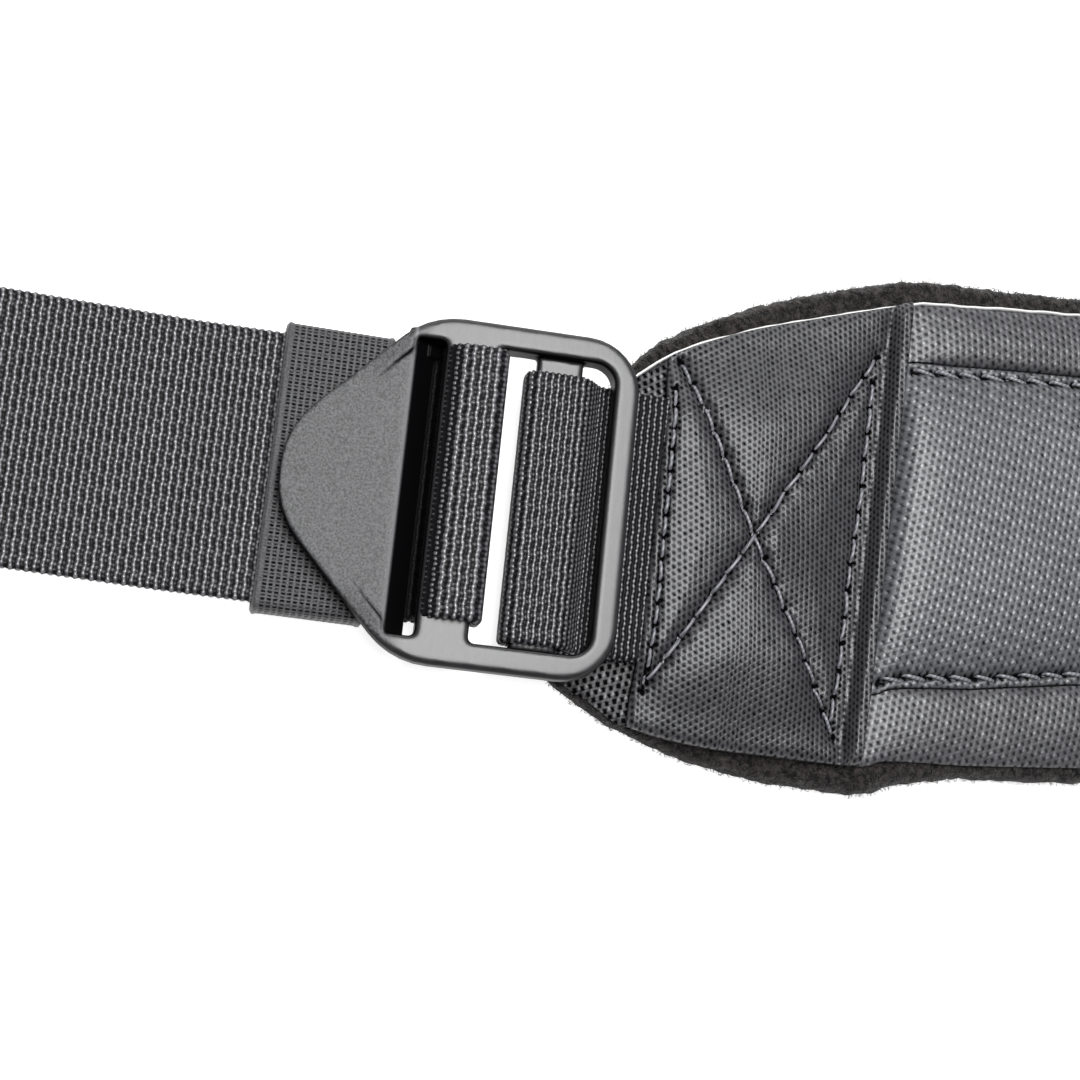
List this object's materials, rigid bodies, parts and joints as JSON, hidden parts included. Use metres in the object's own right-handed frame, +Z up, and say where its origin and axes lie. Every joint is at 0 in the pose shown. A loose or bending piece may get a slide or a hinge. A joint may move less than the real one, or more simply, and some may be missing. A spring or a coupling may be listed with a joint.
{
  "type": "rolling bag strap",
  "caption": "Flat woven strap threaded through a ladder-lock buckle and an elastic keeper, anchored to a padded fabric end with a folded, cross-stitched lap and a fleece lining.",
  "frame": {"origin": "middle of the footprint of the whole strap, on the floor it lies on", "axes": "+X along the strap from the webbing's free end to the padded end, +Z up from the floor, +Y to the side that the picture shows at the top"},
  "size_m": [0.2934, 0.1076, 0.0158],
  "materials": {
    "woven_webbing": "dark grey woven webbing, ribbed across",
    "woven_elastic": "charcoal woven elastic",
    "moulded_nylon": "satin dark grey moulded nylon",
    "woven_anchor": "dark grey woven webbing",
    "fleece_lining": "black-brown fleece on foam",
    "nylon_cover": "charcoal ballistic nylon",
    "nylon_panel": "charcoal ballistic nylon over padding",
    "nylon_lap": "charcoal ballistic nylon, folded double"
  },
  "bodies": {
    "root": {"main_webbing": "woven_webbing", "elastic_keeper": "woven_elastic", "ladder_lock": "moulded_nylon", "anchor_webbing": "woven_anchor", "pad_lining": "fleece_lining", "pad_cover": "nylon_cover", "centre_panel": "nylon_panel", "end_panel": "nylon_lap"}
  },
  "joints": []
}
